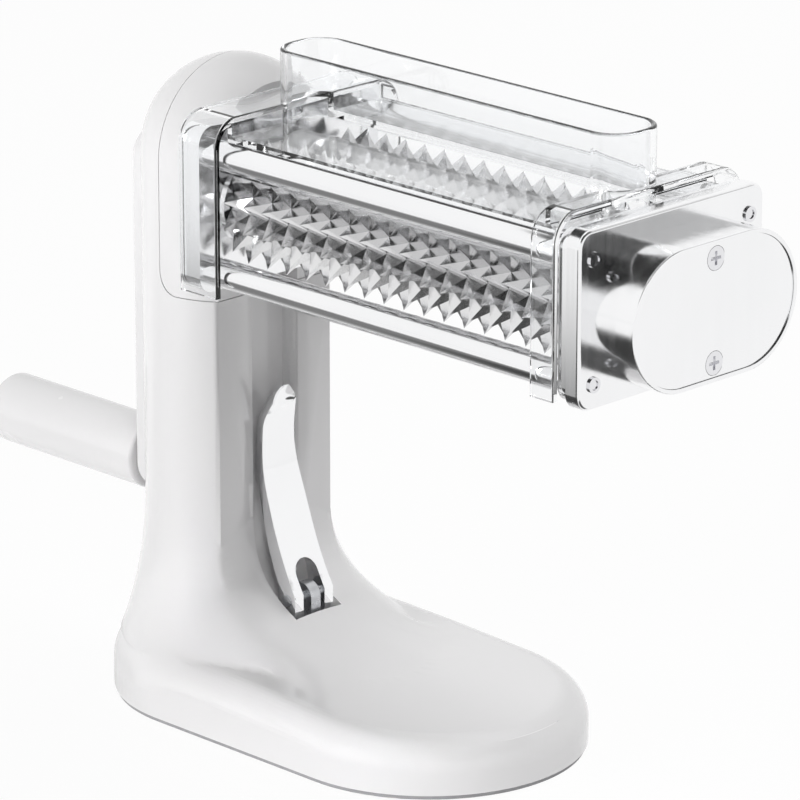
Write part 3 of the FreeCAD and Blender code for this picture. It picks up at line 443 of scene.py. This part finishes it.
def blended_copy(node, name, reach):
    """A copy of the moulded stand with its flare and sole flowing into each other."""
    piece, build = open_copy(node, name)
    bmesh.ops.triangulate(build, faces=build.faces)
    blend_corner(build, reach)
    close_copy(piece, build)
    piece.data.set_sharp_from_angle(angle=CRISP)
    weigh = piece.modifiers.new("weighted normals", "WEIGHTED_NORMAL")
    weigh.keep_sharp = True
    bake_modifiers(piece)
    return piece


# stage helpers, in metres


UP = Vector((0, 0, 1))
WORLD_COLOUR = (0.95, 0.94, 0.945)
WORLD_STRENGTH = 0.12
FLOOR_HALF = 6.0
FLOOR_GREY = 0.92
FLOOR_ROUGHNESS = 0.9

# the share of plain white in the floor, where rays show it as background
FLOOR_GLOW = 0.95

# the outer share of a card's half width and half height, in which it fades out
CARD_EDGE = 0.35

# the camera's sensor in millimetres, and how far it sees in metres
SENSOR_WIDTH = 36.0
VIEW_END = 20.0


def facing(place, aim):
    """The rotation that turns an object's -Z side, from its place, towards an aim."""
    return (Vector(place) - Vector(aim)).to_track_quat("Z", "Y").to_euler()


def flat_sheet(name, half_wide, half_high):
    """A plain rectangle about its own middle."""
    mesh = bpy.data.meshes.new(name)
    mesh.from_pydata([(-half_wide, -half_high, 0), (half_wide, -half_high, 0),
                      (half_wide, half_high, 0), (-half_wide, half_high, 0)], [], [(0, 1, 2, 3)])
    sheet = bpy.data.objects.new(name, mesh)
    bpy.context.scene.collection.objects.link(sheet)
    return sheet


def world_light(scene):
    """A pale world: white to rays that show the background, soft light for all others."""
    world = bpy.data.worlds.new("studio")
    scene.world = world
    world.use_nodes = True
    tree = world.node_tree
    tree.nodes.clear()
    out = put(tree, "ShaderNodeOutputWorld")
    soft = put(tree, "ShaderNodeBackground", Color=(*WORLD_COLOUR, 1), Strength=WORLD_STRENGTH)
    plain = put(tree, "ShaderNodeBackground", Color=(1, 1, 1, 1), Strength=1.0)
    mix = put(tree, "ShaderNodeMixShader")
    join(tree, background_rays(tree), "Value", mix, "Fac")
    join(tree, soft, "Background", mix, 1)
    join(tree, plain, "Background", mix, 2)
    join(tree, mix, "Shader", out, "Surface")


def pale_floor():
    """A pale floor that keeps the machine's shadow and is nearly white where it is background."""
    floor = flat_sheet("floor", FLOOR_HALF, FLOOR_HALF)
    material, tree, shader = new_material("pale floor")
    shader.inputs["Base Color"].default_value = (FLOOR_GREY, FLOOR_GREY, FLOOR_GREY, 1)
    shader.inputs["Roughness"].default_value = FLOOR_ROUGHNESS
    glow = put(tree, "ShaderNodeEmission", Strength=1.0)
    mix = put(tree, "ShaderNodeMixShader")
    part = put(tree, "ShaderNodeMath", operation="MULTIPLY")
    join(tree, background_rays(tree), "Value", part, 0)
    part.inputs[1].default_value = FLOOR_GLOW
    join(tree, part, "Value", mix, "Fac")
    join(tree, shader, "BSDF", mix, 1)
    join(tree, glow, "Emission", mix, 2)
    join(tree, mix, "Shader", tree.nodes["Material Output"], "Surface")
    floor.data.materials.append(material)


def soft_box(name, place, aim, wide, high, watts):
    """A wide lamp that polished pieces don't mirror."""
    data = bpy.data.lights.new(name, "AREA")
    data.shape = "RECTANGLE"
    data.size = wide
    data.size_y = high
    data.energy = watts
    lamp = bpy.data.objects.new(name, data)
    lamp.location = place
    lamp.rotation_euler = facing(place, aim)
    lamp.visible_glossy = False
    bpy.context.scene.collection.objects.link(lamp)
    return lamp


def card_material(name, half_wide, half_high, shade, edge):
    """A plain shade that fades out towards the card's edges."""
    material = bpy.data.materials.new(name)
    material.use_nodes = True
    tree = material.node_tree
    tree.nodes.clear()
    coords = put(tree, "ShaderNodeTexCoord")
    shape = put(tree, "ShaderNodeMapping", Scale=(1 / half_wide, 1 / half_high, 1.0))
    fade = put(tree, "ShaderNodeTexGradient", gradient_type="SPHERICAL")
    dark = put(tree, "ShaderNodeMapRange", interpolation_type="SMOOTHSTEP", From_Max=edge)
    glow = put(tree, "ShaderNodeEmission", Color=(shade, shade, shade, 1))
    clear = put(tree, "ShaderNodeBsdfTransparent")
    mix = put(tree, "ShaderNodeMixShader")
    out = put(tree, "ShaderNodeOutputMaterial")
    join(tree, coords, "Object", shape, "Vector")
    join(tree, shape, "Vector", fade, "Vector")
    join(tree, fade, "Fac", dark, "Value")
    join(tree, dark, "Result", mix, "Fac")
    join(tree, clear, "BSDF", mix, 1)
    join(tree, glow, "Emission", mix, 2)
    join(tree, mix, "Shader", out, "Surface")
    return material


def card(name, place, aim, wide, high, shade, edge=CARD_EDGE):
    """A darker card with soft edges outside the picture, which only metal and clear pieces see."""
    sheet = flat_sheet(name, wide / 2, high / 2)
    sheet.location = place
    sheet.rotation_euler = facing(place, aim)
    sheet.data.materials.append(card_material(name, wide / 2, high / 2, shade, edge))
    sheet.visible_camera = False
    sheet.visible_diffuse = False
    sheet.visible_shadow = False
    return sheet


def floor_card(name, place, wide, high, shade, edge=CARD_EDGE):
    """A card that lies just over the floor."""
    return card(name, Vector(place), Vector(place) + UP, wide, high, shade, edge)


def light_machine():
    """A large lamp at the side, one above, and a faint narrow one on the sole."""
    middle = Vector((0.04, 0, 0.12))
    soft_box("key", (-0.5, -1.9, 0.6), middle, wide=1.2, high=1.0, watts=32.0)
    soft_box("sky", (0.3, 0.9, 1.6), middle, wide=1.4, high=1.4, watts=19.0)
    sole = soft_box("sole", (0.55, -0.42, 0.30), (0.09, 0, 0.02), wide=0.1, high=0.1, watts=0.04)
    sole.data.spread = math.radians(26)


def hang_cards():
    """Cards for the polished pieces to mirror: some face the gear housing, some lie on the floor."""
    drum = Vector((0.175, -0.02, 0.185))
    far = 0.9
    close = 0.35
    front = drum + far * Vector((0.673, -0.31, 0.67))
    top = drum + far * Vector((0.66, 0.33, 0.68))
    right = drum + close * Vector((0.64, 0.7, 0.3))
    card("front flag", front, drum, wide=1.0, high=1.1, shade=0.02)
    card("high flag", top, drum, wide=1.0, high=0.9, shade=0.1)
    near = card("near flag", (0.1, -0.04, 0.3), (0.17, -0.03, 0.21), wide=0.2, high=0.07, shade=0.04)
    near.visible_transmission = False
    floor_card("floor flag", (0.34, -0.02, 0.002), wide=0.3, high=0.3, shade=0.09)
    floor_card("left flag", (-0.16, -0.24, 0.002), wide=1.0, high=0.55, shade=0.22, edge=0.6)
    card("right flag", right, drum, wide=0.26, high=0.13, shade=0.5, edge=0.6)
    floor_card("edge flag", (0.07, -0.42, 0.003), wide=0.46, high=0.95, shade=0.05)


def place_camera(scene, view):
    """A long lens, far off in the direction that the settings give."""
    data = bpy.data.cameras.new("camera")
    data.lens = view.lens
    data.sensor_width = SENSOR_WIDTH
    data.clip_end = VIEW_END
    camera = bpy.data.objects.new("camera", data)
    level = math.cos(view.elevation)
    back = Vector((math.sin(view.azimuth) * level, -math.cos(view.azimuth) * level,
                   math.sin(view.elevation)))
    camera.location = Vector(view.target) + back * view.distance
    camera.rotation_euler = (math.pi / 2 - view.elevation, 0, view.azimuth)
    scene.collection.objects.link(camera)
    scene.camera = camera


# operators


class TENDERIZER_OT_finish_nodes(bpy.types.Operator):
    """Give every machined and moulded piece its finish"""
    bl_idname = "tenderizer.finish_nodes"
    bl_label = "Finish the machine's pieces"

    def execute(self, context):
        FINISHES.update(make_finishes(context.scene.tenderizer_finish))
        for name, node in NODES.items():
            node.data.materials.clear()
            node.data.materials.append(FINISHES[NODE_FINISH[name]])
        return {"FINISHED"}


class TENDERIZER_OT_stand(bpy.types.Operator):
    """Mould the column and the sole into one flowing stand"""
    bl_idname = "tenderizer.stand"
    bl_label = "Make the moulded stand"

    def execute(self, context):
        shape = context.scene.tenderizer_shape
        stand = blended_copy("stand_body", "moulded_stand", shape.corner_reach)
        stand.data.materials.append(FINISHES["stand white"])
        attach(stand, "stand")
        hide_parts("stand_body")
        return {"FINISHED"}


class TENDERIZER_OT_lever(bpy.types.Operator):
    """Make the folded lever with its edges slightly broken"""
    bl_idname = "tenderizer.lever"
    bl_label = "Make the suction lever"

    def execute(self, context):
        shape = context.scene.tenderizer_shape
        lever = rounded_copy("suction_lever", "polished_lever", shape.lever_round)
        lever.data.materials.append(FINISHES["mirror chrome"])
        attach(lever, "lever")
        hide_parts("suction_lever")
        return {"FINISHED"}


class TENDERIZER_OT_stage(bpy.types.Operator):
    """Set the pale floor, the soft light, the cards and the camera"""
    bl_idname = "tenderizer.stage"
    bl_label = "Set the stage"

    def execute(self, context):
        scene = context.scene
        scene.view_settings.view_transform = "Standard"
        world_light(scene)
        pale_floor()
        light_machine()
        hang_cards()
        place_camera(scene, scene.tenderizer_view)
        return {"FINISHED"}


class TENDERIZER_PT_panel(bpy.types.Panel):
    """The settings and the steps, in the sidebar of the 3D view"""
    bl_label = "Crank meat tenderizer"
    bl_idname = "TENDERIZER_PT_panel"
    bl_space_type = "VIEW_3D"
    bl_region_type = "UI"
    bl_category = "Tenderizer"

    def draw(self, context):
        layout = self.layout
        scene = context.scene
        for group in (scene.tenderizer_finish, scene.tenderizer_shape, scene.tenderizer_view):
            box = layout.box()
            for name in group.__annotations__:
                box.prop(group, name)
        for step in STEPS:
            layout.operator(step.bl_idname)


STEPS = (TENDERIZER_OT_finish_nodes, TENDERIZER_OT_stand, TENDERIZER_OT_lever, TENDERIZER_OT_stage)
GROUPS = (TenderizerFinish, TenderizerShape, TenderizerView)


def register():
    for item in GROUPS + STEPS + (TENDERIZER_PT_panel,):
        bpy.utils.register_class(item)
    bpy.types.Scene.tenderizer_finish = bpy.props.PointerProperty(type=TenderizerFinish)
    bpy.types.Scene.tenderizer_shape = bpy.props.PointerProperty(type=TenderizerShape)
    bpy.types.Scene.tenderizer_view = bpy.props.PointerProperty(type=TenderizerView)


def unregister():
    del bpy.types.Scene.tenderizer_view
    del bpy.types.Scene.tenderizer_shape
    del bpy.types.Scene.tenderizer_finish
    for item in reversed(GROUPS + STEPS + (TENDERIZER_PT_panel,)):
        bpy.utils.unregister_class(item)


def main():
    register()
    for step in STEPS:
        group, name = step.bl_idname.split(".")
        getattr(getattr(bpy.ops, group), name)()


if __name__ == "__main__":
    main()
